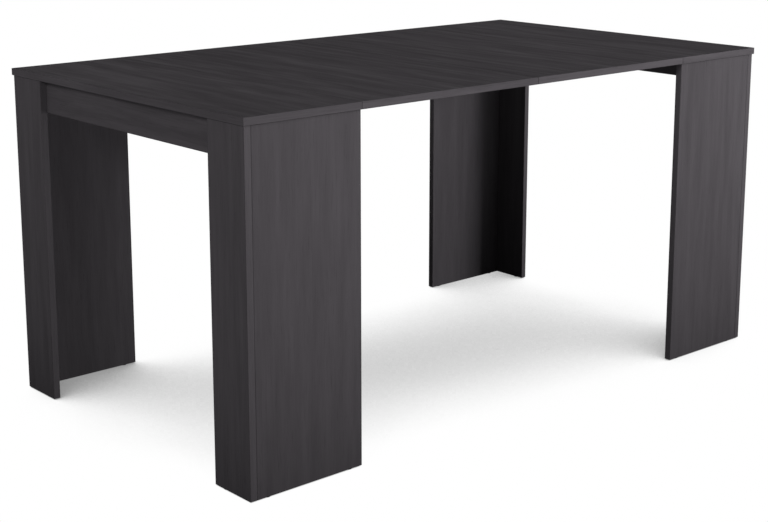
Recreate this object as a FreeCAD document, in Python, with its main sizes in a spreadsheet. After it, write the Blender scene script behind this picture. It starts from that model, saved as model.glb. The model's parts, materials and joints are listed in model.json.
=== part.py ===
import FreeCAD
import Part
import Sketcher
import os

# Extending console table, drawn pulled open with both leaves in.
# X runs along the length, Y from the front edge to the back edge, Z up from the floor.
# The origin lies on the floor under the middle of the open table.

# Driving sizes in millimetres.
SIZES = {
    # Boards and outline
    "table_width": 900,
    "table_height": 770,
    "end_top_depth": 290,
    "leaf_depth": 509,
    "seam_gap": 0.6,
    "board": 16,
    "edge_round": 0.8,
    # Legs and aprons
    "end_overhang": 3,
    "side_overhang": 4,
    "leg_end_width": 120,
    "apron_height": 75,
    # Telescopic runners
    "rail_inset": 200,
    "rail_width": 18,
    "rail_height": 36,
    "rail_wall": 2.2,
    "rail_gap": 1,
    "rail_end_clearance": 5.3,
    "rail_spacer": 0.5,
    "rail_screw_margin": 25,
    "slot_neck": 8,
    "slot_lip": 2.5,
    "slot_head": 14,
    "slot_head_depth": 4,
    "slider_length": 16,
    "slider_margin": 3,
    "slide_clearance": 0.4,
    "stop_length": 5,
    "stop_inset": 2,
    "stop_gap": 0.3,
    # Pins and dowels
    "pin_radius": 4,
    "pin_length": 30,
    "pin_chamfer": 1,
    "pin_inset": 120,
    "pin_clearance": 0.3,
    "dowel_radius": 4,
    "dowel_length": 30,
    "dowel_face_depth": 10,
    "dowel_chamfer": 0.8,
    "dowel_end_margin": 100,
    "end_dowel_setback": 40,
    # Cam locks and their bolts
    "cam_radius": 7.5,
    "cam_skin": 2.5,
    "cam_setback": 34,
    "cam_margin": 60,
    "cam_cross_length": 9,
    "cam_cross_width": 1.8,
    "cam_cross_depth": 2,
    "bolt_head_radius": 3.5,
    "bolt_head_height": 3,
    "bolt_shank_radius": 2.2,
    "bolt_collar_radius": 3.5,
    "bolt_collar_height": 2,
    "bolt_thread_radius": 2.5,
    "bolt_thread_length": 11,
    "bolt_play": 0.3,
    # Screws and angle brackets
    "screw_radius": 2,
    "screw_head_radius": 4,
    "screw_head_height": 2.2,
    "screw_head_crown": 0.8,
    "screw_skin": 4,
    "access_play": 1,
    "bracket_leg": 30,
    "bracket_width": 25,
    "bracket_sheet": 2,
    "bracket_bend": 2,
    "bracket_corner": 4,
    "bracket_hole_place": 18,
    "bracket_inset": 110,
    # Floor glides
    "glide_radius": 7,
    "glide_height": 2,
    "glide_chamfer": 0.8,
    "glide_margin": 30,
    "nail_radius": 1,
    "nail_length": 12,
    # Fits
    "fit_gap": 0.1,
    "hole_end_gap": 1,
    "cut_overrun": 1,
}
# Places of the two screws up the apron's end, as shares of the apron's height.
APRON_SCREW_SHARES = (0.25, 0.75)
# Rails of one runner set, in order from the outside inwards.
RAIL_NAMES = ("left_rail", "slide_1", "slide_2", "right_rail")
RAIL_SCREW_COUNT = 3

doc = FreeCAD.newDocument("console_table")
sheet = doc.addObject("Spreadsheet::Sheet", "Sizes")
for row, (alias, value) in enumerate(SIZES.items(), start=1):
    sheet.set(f"A{row}", str(value))
    sheet.setAlias(f"A{row}", alias)
doc.recompute()
nodes = []


# Sizes worked out from the driving ones, written as expressions of the sheet.
def size(text):
    """An expression in which every bare word is one of the sheet's names."""
    words = text.replace("(", " ( ").replace(")", " ) ").split()
    return "(" + " ".join("Sizes." + word if word in SIZES else word for word in words) + ")"


LENGTH = size("2 * end_top_depth + 2 * leaf_depth + 3 * seam_gap")
LEFT = f"(-{LENGTH} / 2)"
FRONT = size("-0.5 * table_width")
UNDERSIDE = size("table_height - board")
LEG_HEIGHT = size("table_height - board - glide_height")
SIDE_LENGTH = size("end_top_depth - end_overhang - board")
# Distances from the table's left end and front edge.
SIDE_START = size("end_overhang + board")
APRON_INNER = size("end_overhang + 2 * board")
PANEL_MIDDLE = size("side_overhang + board / 2")
END_PANEL_MIDDLE = size("end_overhang + board / 2")
LEG_FREE_EDGE = size("side_overhang + leg_end_width")
# Runners: when the table is closed the four rails of a set lie side by side between the aprons.
RAIL_START = size("end_overhang + 2 * board + rail_end_clearance")
RAIL_LENGTH = f"({size('2 * end_top_depth + seam_gap')} - 2 * {RAIL_START})"
STAGE_TRAVEL = size("( 2 * leaf_depth + 2 * seam_gap ) / 3")
RAIL_BASE = size("table_height - board - rail_spacer - rail_height")
RAIL_MIDDLE = size("table_height - board - rail_spacer - rail_height / 2")
HELD_LENGTH = f"({size('end_top_depth')} - {RAIL_START})"


def number(expression):
    """The value that an expression of the sheet has now."""
    return float(sheet.evalExpression(expression))


def negative(expression):
    return f"(-{expression})"


def plus(*expressions):
    return "(" + " + ".join(expressions) + ")"


def minus(first, second):
    return f"({first} - {second})"


def mirrored(expression, whole):
    """The same distance measured from the other side of a width."""
    return minus(whole, expression)


# Sketches and features
def new_body(label):
    body = doc.addObject("PartDesign::Body", label)
    body.Label = label
    return body


def sketch_on(body, role, offset=None):
    """A sketch on one of the body's origin planes, moved along the plane's normal by an expression."""
    sketch = body.newObject("Sketcher::SketchObject", "outline")
    plane = next(f for f in body.Origin.OriginFeatures if f.Role == role)
    sketch.AttachmentSupport = [(plane, "")]
    sketch.MapMode = "FlatFace"
    if offset:
        sketch.setExpression("AttachmentOffset.Base.z", offset)
    return sketch


def pin_point(sketch, geometry, point, kind, expression):
    """Holds one coordinate of a point at an expression, measured from the sketch's origin."""
    if expression == "0":
        axis = -2 if kind == "DistanceX" else -1
        sketch.addConstraint(Sketcher.Constraint("PointOnObject", geometry, point, axis))
        return
    value = number(expression)
    index = sketch.addConstraint(Sketcher.Constraint(kind, -1, 1, geometry, point, value))
    name = f"{kind}_{geometry}_{point}"
    sketch.renameConstraint(index, name)
    sketch.setExpression(f".Constraints.{name}", expression)


def draw_outline(sketch, points):
    """A closed outline of straight edges through points given as pairs of expressions."""
    first = sketch.GeometryCount
    count = len(points)
    places = [FreeCAD.Vector(number(x), number(y), 0) for x, y in points]
    for i in range(count):
        sketch.addGeometry(Part.LineSegment(places[i], places[(i + 1) % count]))
    for i in range(count):
        after = (i + 1) % count
        sketch.addConstraint(Sketcher.Constraint("Coincident", first + i, 2, first + after, 1))
    for i, (x, y) in enumerate(points):
        if i and x == points[i - 1][0]:
            sketch.addConstraint(Sketcher.Constraint("Vertical", first + i - 1))
        else:
            pin_point(sketch, first + i, 1, "DistanceX", x)
        if i and y == points[i - 1][1]:
            sketch.addConstraint(Sketcher.Constraint("Horizontal", first + i - 1))
        else:
            pin_point(sketch, first + i, 1, "DistanceY", y)


def draw_rectangle(sketch, left, low, right, high):
    draw_outline(sketch, [(left, low), (right, low), (right, high), (left, high)])


def pad(body, sketch, length):
    feature = body.newObject("PartDesign::Pad", "pad")
    feature.Profile = sketch
    feature.setExpression("Length", length)
    return feature


def round_edges(body, feature, radius, middles):
    """Rounds the edges of a feature whose middles lie at points given as triples of expressions."""
    doc.recompute()
    spots = [FreeCAD.Vector(*map(number, middle)) for middle in middles]
    same_place = FreeCAD.Base.Precision.confusion()
    names = [
        f"Edge{i}"
        for i, edge in enumerate(feature.Shape.Edges, start=1)
        if any(edge.CenterOfMass.isEqual(spot, same_place) for spot in spots)
    ]
    if len(names) != len(spots):
        raise RuntimeError(f"{body.Label} has no edge at a place that is rounded")
    rounded = body.newObject("PartDesign::Fillet", "rounded")
    rounded.Base = (feature, names)
    rounded.setExpression("Radius", radius)
    return rounded


def revolve(body, points):
    """Turns a half outline, given as radius and height, about the body's Z axis."""
    sketch = sketch_on(body, "XZ_Plane")
    draw_outline(sketch, points)
    feature = body.newObject("PartDesign::Revolution", "turned")
    feature.Profile = sketch
    feature.ReferenceAxis = (sketch, ["V_Axis"])
    feature.Angle = 360
    return feature


def cut(body, sketch, depth, along_normal):
    """Cuts a sketch into the body, and makes sure that the cut took material away."""
    doc.recompute()
    before = body.Shape.Volume
    feature = body.newObject("PartDesign::Pocket", "pocket")
    feature.Profile = sketch
    feature.setExpression("Length", depth)
    feature.Reversed = along_normal
    doc.recompute()
    if not body.Shape.Volume < before:
        raise RuntimeError(f"a pocket of {body.Label} cuts nothing")
    return feature


def drill(body, role, offset, centres, radius, depth, along_normal):
    """Round blind holes of one size, with their centres as pairs of expressions on an offset plane."""
    sketch = sketch_on(body, role, offset)
    for i, (x, y) in enumerate(centres):
        middle = FreeCAD.Vector(number(x), number(y), 0)
        sketch.addGeometry(Part.Circle(middle, FreeCAD.Vector(0, 0, 1), number(radius)))
        pin_point(sketch, i, 3, "DistanceX", x)
        pin_point(sketch, i, 3, "DistanceY", y)
        if i:
            sketch.addConstraint(Sketcher.Constraint("Equal", 0, i))
        else:
            index = sketch.addConstraint(Sketcher.Constraint("Radius", 0, number(radius)))
            sketch.renameConstraint(index, "hole_radius")
            sketch.setExpression(".Constraints.hole_radius", radius)
    return cut(body, sketch, depth, along_normal)


def set_place(item, x, y, z):
    for axis, expression in zip("xyz", (x, y, z)):
        item.setExpression(f"Placement.Base.{axis}", expression)


def node(item):
    """Marks a sub-part that is written to a file of its own."""
    nodes.append(item)
    return item


def mirror(source, label, normal):
    """The opposite hand of a sub-part, across a plane through the origin."""
    item = doc.addObject("Part::Mirroring", label)
    item.Label = label
    item.Source = source
    item.Normal = normal
    return node(item)


def group(label, master, places):
    """Copies of one master piece, each with its own place and turn, as one sub-part of separate solids."""
    copies = []
    for x, y, z, turn in places:
        copy = doc.addObject("App::Link", f"{label}_piece")
        copy.LinkedObject = master
        copy.Placement = FreeCAD.Placement(FreeCAD.Vector(), turn)
        set_place(copy, x, y, z)
        copies.append(copy)
    item = doc.addObject("Part::Compound", label)
    item.Label = label
    item.Links = copies
    return node(item)


X_AXIS = FreeCAD.Vector(1, 0, 0)
Y_AXIS = FreeCAD.Vector(0, 1, 0)
UPRIGHT = FreeCAD.Rotation()
HEAD_DOWN = FreeCAD.Rotation(X_AXIS, 180)
ALONG_LENGTH = FreeCAD.Rotation(Y_AXIS, 90)
FACING_BACK = FreeCAD.Rotation(FreeCAD.Vector(0, 1, 1), 180)
FACING_FRONT = FreeCAD.Rotation(X_AXIS, 90)


def from_left(distance):
    return plus(LEFT, distance)


def front_and_back(places):
    """Places given from the left end and front edge, and the same again from the back edge."""
    both = []
    for u, v, z, front_turn, back_turn in places:
        both.append((from_left(u), plus(FRONT, v), z, front_turn))
        both.append((from_left(u), negative(plus(FRONT, v)), z, back_turn))
    return both


# Boards
def board_body(label, length, width, height):
    """A board with all its edges slightly rounded, its first corner at the body's origin."""
    body = new_body(label)
    sketch = sketch_on(body, "XY_Plane")
    draw_rectangle(sketch, "0", "0", length, width)
    block = pad(body, sketch, height)
    doc.recompute()
    rounded = body.newObject("PartDesign::Fillet", "rounded")
    rounded.Base = (block, ["Edge1"])
    rounded.UseAllEdges = True
    rounded.setExpression("Radius", size("edge_round"))
    return body


PIN_HOLE = size("pin_radius + pin_clearance")
PIN_DEPTH = size("pin_length / 2 + hole_end_gap")
PIN_ROWS = [size("pin_inset"), size("table_width / 2"), size("table_width - pin_inset")]
PIN_CENTRES = [(row, size("board / 2")) for row in PIN_ROWS]
DOWEL_HOLE = size("dowel_radius + fit_gap")
DOWEL_FACE_HOLE = size("dowel_face_depth + hole_end_gap")
DOWEL_EDGE_HOLE = size("dowel_length - dowel_face_depth + hole_end_gap")
SCREW_HOLE = size("screw_radius + fit_gap")
# A screw stops short of a board's far face by the skin, and its hole a little later.
SCREW_GRIP = size("board - screw_skin")
SCREW_DEPTH = size("board - screw_skin + hole_end_gap")
CAM_DEPTH = size("board - cam_skin - hole_end_gap / 2")

# Hole places that boards and fasteners share, from the left end and the front edge.
CAM_PLACES = [plus(SIDE_START, size("cam_margin")), size("end_top_depth - cam_margin")]
SIDE_DOWEL_PLACE = plus(SIDE_START, f"{SIDE_LENGTH} / 2")
END_DOWEL_PLACE = minus(LEG_FREE_EDGE, size("end_dowel_setback"))
SCREW_STEP = f"(({HELD_LENGTH} - {size('2 * rail_screw_margin')}) / {RAIL_SCREW_COUNT - 1})"
RAIL_SCREW_OFFSETS = [plus(size("rail_screw_margin"), f"{i} * {SCREW_STEP}") for i in range(RAIL_SCREW_COUNT)]
RAIL_SCREW_PLACES = [plus(RAIL_START, offset) for offset in RAIL_SCREW_OFFSETS]
BRACKET_ROWS = [size("bracket_inset"), size("table_width / 2")]
BRACKET_SCREW_PLACE = plus(APRON_INNER, size("bracket_hole_place"))


def rail_place(index):
    """A rail's outer face, measured from the front edge."""
    return plus(size("rail_inset"), f"{index} * {size('rail_width + rail_gap')}")


def rail_start(index):
    """A rail's left end, measured from the table's left end."""
    return plus(RAIL_START, f"{index} * {STAGE_TRAVEL}")


def rail_end(index):
    """A rail's right end, measured from the table's left end."""
    return plus(rail_start(index), RAIL_LENGTH)


def both_edges(centres):
    """Hole centres near the front edge, and the same from the back edge."""
    width = size("table_width")
    return centres + [(u, mirrored(v, width)) for u, v in centres]


def end_top_body(label, rail_index):
    """An end top at the left end, drilled for its legs, brackets and the rail that it carries."""
    body = board_body(label, size("end_top_depth"), size("table_width"), size("board"))
    drill(body, "YZ_Plane", size("end_top_depth"), PIN_CENTRES, PIN_HOLE, PIN_DEPTH, False)
    bolts = both_edges([(place, PANEL_MIDDLE) for place in CAM_PLACES])
    bolt_depth = size("bolt_thread_length + hole_end_gap")
    drill(body, "XY_Plane", None, bolts, size("bolt_thread_radius + fit_gap"), bolt_depth, True)
    dowels = both_edges([(SIDE_DOWEL_PLACE, PANEL_MIDDLE), (END_PANEL_MIDDLE, END_DOWEL_PLACE)])
    drill(body, "XY_Plane", None, dowels, DOWEL_HOLE, DOWEL_FACE_HOLE, True)
    rail_middle = plus(rail_place(rail_index), size("rail_width / 2"))
    screws = both_edges([(place, rail_middle) for place in RAIL_SCREW_PLACES])
    drill(body, "XY_Plane", None, screws, SCREW_HOLE, SCREW_DEPTH, True)
    outer, middle = [(BRACKET_SCREW_PLACE, row) for row in BRACKET_ROWS]
    drill(body, "XY_Plane", None, both_edges([outer]) + [middle], SCREW_HOLE, SCREW_DEPTH, True)
    set_place(body, LEFT, FRONT, UNDERSIDE)
    return body


def make_end_tops():
    node(end_top_body("left_top", 0))
    mirror(end_top_body("right_top_master", len(RAIL_NAMES) - 1), "right_top", X_AXIS)


def make_leaf(label, start):
    body = board_body(label, size("leaf_depth"), size("table_width"), size("board"))
    drill(body, "YZ_Plane", None, PIN_CENTRES, PIN_HOLE, PIN_DEPTH, True)
    drill(body, "YZ_Plane", size("leaf_depth"), PIN_CENTRES, PIN_HOLE, PIN_DEPTH, False)
    set_place(body, from_left(start), FRONT, UNDERSIDE)
    node(body)


CORNER_DOWEL_HEIGHTS = [
    size("dowel_end_margin"),
    f"{LEG_HEIGHT} / 2",
    minus(LEG_HEIGHT, size("dowel_end_margin")),
]
NAIL_HOLE = size("nail_radius + fit_gap")
NAIL_DEPTH = size("nail_length + hole_end_gap")
APRON_SCREW_ROW = size("side_overhang + ( board + leg_end_width ) / 2")
APRON_SCREW_HEIGHTS = [f"{share} * {size('apron_height')}" for share in APRON_SCREW_SHARES]


def four_hands(body):
    """The left front piece of a leg and its three mirrored hands."""
    name = body.Label.replace("left_front_", "")
    back = mirror(body, f"left_back_{name}", Y_AXIS)
    mirror(body, f"right_front_{name}", X_AXIS)
    mirror(back, f"right_back_{name}", X_AXIS)


def make_side_panel():
    body = board_body("left_front_side_panel", SIDE_LENGTH, size("board"), LEG_HEIGHT)
    half = size("board / 2")
    corner = [(half, height) for height in CORNER_DOWEL_HEIGHTS]
    drill(body, "YZ_Plane", None, corner, DOWEL_HOLE, DOWEL_EDGE_HOLE, True)
    top_edge = LEG_HEIGHT
    along = [minus(place, SIDE_START) for place in CAM_PLACES]
    drill(body, "XY_Plane", top_edge, [(f"{SIDE_LENGTH} / 2", half)], DOWEL_HOLE, DOWEL_EDGE_HOLE, False)
    bolts = [(x, half) for x in along]
    bolt_hole = size("bolt_collar_radius + bolt_play")
    drill(body, "XY_Plane", top_edge, bolts, bolt_hole, size("cam_setback"), False)
    cams = [(x, minus(LEG_HEIGHT, size("cam_setback"))) for x in along]
    inner = size("-1 * board")
    drill(body, "XZ_Plane", inner, cams, size("cam_radius + fit_gap"), size("board - cam_skin"), True)
    margin = size("glide_margin")
    nails = [(margin, half), (minus(SIDE_LENGTH, margin), half)]
    drill(body, "XY_Plane", None, nails, NAIL_HOLE, NAIL_DEPTH, True)
    set_place(body, from_left(SIDE_START), plus(FRONT, size("side_overhang")), size("glide_height"))
    four_hands(node(body))


def make_end_panel():
    body = board_body("left_front_end_panel", size("board"), size("leg_end_width"), LEG_HEIGHT)
    half = size("board / 2")
    inner = size("board")
    corner = [(half, height) for height in CORNER_DOWEL_HEIGHTS]
    drill(body, "YZ_Plane", inner, corner, DOWEL_HOLE, DOWEL_FACE_HOLE, False)
    free = size("leg_end_width")
    top = [(half, minus(free, size("end_dowel_setback")))]
    drill(body, "XY_Plane", LEG_HEIGHT, top, DOWEL_HOLE, DOWEL_EDGE_HOLE, False)
    row = minus(APRON_SCREW_ROW, size("side_overhang"))
    low = minus(LEG_HEIGHT, size("apron_height"))
    screws = [(row, plus(low, height)) for height in APRON_SCREW_HEIGHTS]
    drill(body, "YZ_Plane", inner, screws, SCREW_HOLE, SCREW_DEPTH, False)
    drill(body, "XY_Plane", None, [(half, minus(free, size("glide_margin")))], NAIL_HOLE, NAIL_DEPTH, True)
    set_place(body, from_left(size("end_overhang")), plus(FRONT, size("side_overhang")), size("glide_height"))
    four_hands(node(body))


def make_apron():
    span = size("table_width - 2 * side_overhang - 2 * board")
    start = size("side_overhang + board")
    body = board_body("left_apron", size("board"), span, size("apron_height"))
    through = size("board + cut_overrun")
    row = minus(APRON_SCREW_ROW, start)
    ends = [(v, height) for v in (row, mirrored(row, span)) for height in APRON_SCREW_HEIGHTS]
    drill(body, "YZ_Plane", size("board"), ends, SCREW_HOLE, through, False)
    outer, middle = [minus(place, start) for place in BRACKET_ROWS]
    high = size("apron_height - bracket_hole_place")
    brackets = [(v, high) for v in (outer, middle, mirrored(outer, span))]
    drill(body, "YZ_Plane", size("board"), brackets, SCREW_HOLE, SCREW_DEPTH, False)
    set_place(body, from_left(SIDE_START), plus(FRONT, start), minus(UNDERSIDE, size("apron_height")))
    mirror(node(body), "right_apron", X_AXIS)


# Telescopic runners
def rail_outline():
    """The extrusion's section: a T-slot in each flank, as distances across and up from its lower corner."""
    across = size("rail_width")
    lip = size("slot_lip")
    deep = size("slot_lip + slot_head_depth")
    neck_low = size("rail_height / 2 - slot_neck / 2")
    neck_high = size("rail_height / 2 + slot_neck / 2")
    head_low = size("rail_height / 2 - slot_head / 2")
    head_high = size("rail_height / 2 + slot_head / 2")
    far_lip = minus(across, lip)
    far_deep = minus(across, deep)
    up = size("rail_height")
    right_slot = [(across, neck_low), (far_lip, neck_low), (far_lip, head_low), (far_deep, head_low)]
    right_slot += [(far_deep, head_high), (far_lip, head_high), (far_lip, neck_high), (across, neck_high)]
    left_slot = [("0", neck_high), (lip, neck_high), (lip, head_high), (deep, head_high)]
    left_slot += [(deep, head_low), (lip, head_low), (lip, neck_low), ("0", neck_low)]
    return [("0", "0"), (across, "0"), *right_slot, (across, up), ("0", up), *left_slot]


def make_rail(index):
    name = f"front_{RAIL_NAMES[index]}"
    body = new_body(name)
    sketch = sketch_on(body, "YZ_Plane")
    draw_outline(sketch, rail_outline())
    wall = size("rail_wall")
    far = size("rail_width - rail_wall")
    lower_roof = size("rail_height / 2 - slot_head / 2 - rail_wall")
    upper_floor = size("rail_height / 2 + slot_head / 2 + rail_wall")
    upper_roof = size("rail_height - rail_wall")
    draw_rectangle(sketch, wall, wall, far, lower_roof)
    draw_rectangle(sketch, wall, upper_floor, far, upper_roof)
    pad(body, sketch, RAIL_LENGTH)
    offsets = {"left_rail": RAIL_SCREW_OFFSETS}
    offsets["right_rail"] = [minus(RAIL_LENGTH, offset) for offset in RAIL_SCREW_OFFSETS]
    if RAIL_NAMES[index] in offsets:
        centres = [(x, size("rail_width / 2")) for x in offsets[RAIL_NAMES[index]]]
        drill(body, "XY_Plane", None, centres, size("screw_head_radius + access_play"), upper_roof, True)
        through = size("rail_wall + cut_overrun")
        drill(body, "XY_Plane", size("rail_height"), centres, SCREW_HOLE, through, False)
    set_place(body, from_left(rail_start(index)), plus(FRONT, rail_place(index)), RAIL_BASE)
    mirror(node(body), f"back_{RAIL_NAMES[index]}", Y_AXIS)


def make_slider_master():
    """A block with a T head on each side of the gap between two rails, centred on that gap."""
    body = new_body("slider_master")
    neck_high = size("slot_neck / 2 - slide_clearance")
    neck_low = negative(neck_high)
    head_high = size("slot_head / 2 - slide_clearance")
    head_low = negative(head_high)
    near = size("rail_gap / 2 + slot_lip + slide_clearance")
    far = size("rail_gap / 2 + slot_lip + slot_head_depth - slide_clearance")
    other_near = negative(near)
    other_far = negative(far)
    right = [(near, neck_low), (near, head_low), (far, head_low)]
    right += [(far, head_high), (near, head_high), (near, neck_high)]
    left = [(other_near, neck_high), (other_near, head_high), (other_far, head_high)]
    left += [(other_far, head_low), (other_near, head_low), (other_near, neck_low)]
    sketch = sketch_on(body, "YZ_Plane")
    draw_outline(sketch, right + left)
    pad(body, sketch, size("slider_length"))
    return body


def make_stop_master():
    """A block that fills a slot's head, centred across and up."""
    body = new_body("stop_master")
    half_deep = size("slot_head_depth / 2 - fit_gap")
    half_high = size("slot_head / 2 - fit_gap")
    sketch = sketch_on(body, "YZ_Plane")
    draw_rectangle(sketch, negative(half_deep), negative(half_high), half_deep, half_high)
    pad(body, sketch, size("stop_length"))
    return body


def gap_middle(index):
    """The middle of the gap between a rail and the next one, measured from the front edge."""
    return minus(rail_place(index + 1), size("rail_gap / 2"))


def make_sliders_and_stops():
    slider = make_slider_master()
    stop = make_stop_master()
    at_stop = size("stop_inset + stop_length + stop_gap")
    from_end = size("slider_margin + slider_length")
    from_stop = size("stop_inset + stop_length + stop_gap + slider_length")
    flat = (RAIL_MIDDLE, UPRIGHT, UPRIGHT)
    for index, label in ((0, "left_rail_sliders"), (1, "slide_1_sliders")):
        starts = [plus(rail_start(index + 1), at_stop), minus(rail_end(index), from_end)]
        group(label, slider, front_and_back([(u, gap_middle(index), *flat) for u in starts]))
    last = len(RAIL_NAMES) - 1
    starts = [plus(rail_start(last), size("slider_margin")), minus(rail_end(last - 1), from_stop)]
    group("right_rail_sliders", slider, front_and_back([(u, gap_middle(last - 1), *flat) for u in starts]))
    slot_middle = size("slot_lip + slot_head_depth / 2")
    near_slot = [plus(rail_place(index), slot_middle) for index in (1, 2)]
    far_slot = minus(plus(rail_place(2), size("rail_width")), slot_middle)
    left_ends = [plus(rail_start(index), size("stop_inset")) for index in (1, 2)]
    right_end = minus(rail_end(2), size("stop_inset + stop_length"))
    group("slide_1_stops", stop, front_and_back([(left_ends[0], near_slot[0], *flat)]))
    second = [(left_ends[1], near_slot[1], *flat), (right_end, far_slot, *flat)]
    group("slide_2_stops", stop, front_and_back(second))


def make_rail_spacer(label, index, offsets, start):
    """Thin strips between a fixed rail and its top, over the length that the top covers."""
    master = new_body(f"{label}_master")
    sketch = sketch_on(master, "XY_Plane")
    draw_rectangle(sketch, "0", "0", HELD_LENGTH, size("rail_width"))
    pad(master, sketch, size("rail_spacer"))
    centres = [(x, size("rail_width / 2")) for x in offsets]
    drill(master, "XY_Plane", None, centres, SCREW_HOLE, size("rail_spacer + cut_overrun"), True)
    z = minus(UNDERSIDE, size("rail_spacer"))
    front = plus(FRONT, rail_place(index))
    back = negative(plus(front, size("rail_width")))
    places = [(from_left(start), y, z, UPRIGHT) for y in (front, back)]
    group(label, master, places)


def make_rail_fixings():
    last = len(RAIL_NAMES) - 1
    screw = make_screw_master("rail_screw_master", plus(size("rail_wall + rail_spacer"), SCREW_GRIP))
    held_end = minus(LENGTH, size("end_top_depth"))
    right_offsets = [minus(HELD_LENGTH, offset) for offset in RAIL_SCREW_OFFSETS]
    make_rail_spacer("left_rail_spacers", 0, RAIL_SCREW_OFFSETS, RAIL_START)
    make_rail_spacer("right_rail_spacers", last, right_offsets, held_end)
    seat = minus(UNDERSIDE, size("rail_spacer + rail_wall"))
    right_places = [mirrored(place, LENGTH) for place in RAIL_SCREW_PLACES]
    for side, index, along in (("left", 0, RAIL_SCREW_PLACES), ("right", last, right_places)):
        across = plus(rail_place(index), size("rail_width / 2"))
        places = [(u, across, seat, HEAD_DOWN, HEAD_DOWN) for u in along]
        group(f"{side}_rail_screws", screw, front_and_back(places))


# Turned fasteners, drawn upright with their seat or first end at the origin
def make_rod_master(label, prefix):
    """A pin or dowel with chamfered ends."""
    body = new_body(label)
    radius = size(f"{prefix}_radius")
    narrow = size(f"{prefix}_radius - {prefix}_chamfer")
    length = size(f"{prefix}_length")
    chamfer = size(f"{prefix}_chamfer")
    shoulder = size(f"{prefix}_length - {prefix}_chamfer")
    lower = [("0", "0"), (narrow, "0"), (radius, chamfer)]
    upper = [(radius, shoulder), (narrow, length), ("0", length)]
    revolve(body, lower + upper)
    return body


def make_screw_master(label, length):
    """A pan-head screw: the head above the seat, the shank below."""
    body = new_body(label)
    shank = size("screw_radius")
    head = size("screw_head_radius")
    rim = size("screw_head_radius - screw_head_crown")
    crown = size("screw_head_height - screw_head_crown")
    high = size("screw_head_height")
    low = negative(length)
    points = [("0", low), (shank, low), (shank, "0"), (head, "0"), (head, crown), (rim, high), ("0", high)]
    revolve(body, points)
    return body


def make_cam_bolt_master():
    """A cam bolt: thread above the top's underside, collar, shank and head below it."""
    body = new_body("cam_bolt_master")
    head = size("bolt_head_radius")
    shank = size("bolt_shank_radius")
    collar = size("bolt_collar_radius")
    thread = size("bolt_thread_radius")
    low = size("-1 * cam_setback - bolt_head_height / 2")
    neck = size("-1 * cam_setback + bolt_head_height / 2")
    under = size("-1 * bolt_collar_height")
    tip = size("bolt_thread_length")
    points = [("0", low), (head, low), (head, neck), (shank, neck), (shank, under), (collar, under)]
    points += [(collar, "0"), (thread, "0"), (thread, tip), ("0", tip)]
    revolve(body, points)
    return body


def make_cam_lock_master():
    """A cam drum with its face at the origin, a channel for the bolt's head and a cross recess."""
    body = new_body("cam_lock_master")
    radius = size("cam_radius")
    low = negative(CAM_DEPTH)
    revolve(body, [("0", low), (radius, low), (radius, "0"), ("0", "0")])
    half = size("bolt_head_radius + bolt_play")
    bolt_line = size("-0.5 * board")
    channel = sketch_on(body, "XZ_Plane", size("bolt_head_height"))
    draw_rectangle(channel, negative(half), minus(bolt_line, half), half, plus(bolt_line, half))
    cut(body, channel, size("bolt_head_height + cam_radius + cut_overrun"), False)
    long = size("cam_cross_length / 2")
    thin = size("cam_cross_width / 2")
    for wide, high in ((long, thin), (thin, long)):
        recess = sketch_on(body, "XY_Plane")
        draw_rectangle(recess, negative(wide), negative(high), wide, high)
        cut(body, recess, size("cam_cross_depth"), False)
    return body


def make_glide_master():
    """A floor glide with its nail, standing on the floor at the origin."""
    body = new_body("glide_master")
    radius = size("glide_radius")
    rim = size("glide_radius - glide_chamfer")
    chamfer = size("glide_chamfer")
    seat = size("glide_height")
    nail = size("nail_radius")
    tip = size("glide_height + nail_length")
    disc = [("0", "0"), (rim, "0"), (radius, chamfer), (radius, seat)]
    revolve(body, disc + [(nail, seat), (nail, tip), ("0", tip)])
    return body


def make_bracket_master():
    """A folded steel angle with its corner line at the origin and a hole in each round-cornered leg."""
    body = new_body("bracket_master")
    leg = size("bracket_leg")
    thick = size("bracket_sheet")
    foot = negative(leg)
    roof = negative(thick)
    sketch = sketch_on(body, "XZ_Plane", size("-0.5 * bracket_width"))
    draw_outline(sketch, [("0", "0"), ("0", foot), (thick, foot), (thick, roof), (leg, roof), (leg, "0")])
    sharp = pad(body, sketch, size("bracket_width"))
    outer = round_edges(body, sharp, size("bracket_bend + bracket_sheet"), [("0", "0", "0")])
    folded = round_edges(body, outer, size("bracket_bend"), [(thick, "0", roof)])
    sides = (size("bracket_width / 2"), size("-0.5 * bracket_width"))
    upright_corners = [(size("bracket_sheet / 2"), side, foot) for side in sides]
    flat_corners = [(leg, side, size("-0.5 * bracket_sheet")) for side in sides]
    round_edges(body, folded, size("bracket_corner"), upright_corners + flat_corners)
    place = size("bracket_hole_place")
    through = size("bracket_sheet + cut_overrun")
    drill(body, "XY_Plane", None, [(place, "0")], SCREW_HOLE, through, False)
    drill(body, "YZ_Plane", None, [("0", negative(place))], SCREW_HOLE, through, True)
    return body


# Fastener groups of the left half; the right half mirrors them
def both_ends(label, master, places):
    left = group(f"left_{label}", master, places)
    mirror(left, f"right_{label}", X_AXIS)


def make_dowels():
    dowel = make_rod_master("dowel_master", "dowel")
    base = size("glide_height")
    into_face = minus(SIDE_START, size("dowel_face_depth"))
    corner = [(into_face, PANEL_MIDDLE, plus(base, height)) for height in CORNER_DOWEL_HEIGHTS]
    corner = [(*place, ALONG_LENGTH, ALONG_LENGTH) for place in corner]
    both_ends("corner_dowels", dowel, front_and_back(corner))
    foot = minus(UNDERSIDE, size("dowel_length - dowel_face_depth"))
    top = [(SIDE_DOWEL_PLACE, PANEL_MIDDLE), (END_PANEL_MIDDLE, END_DOWEL_PLACE)]
    top = [(*place, foot, UPRIGHT, UPRIGHT) for place in top]
    both_ends("top_dowels", dowel, front_and_back(top))


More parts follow.
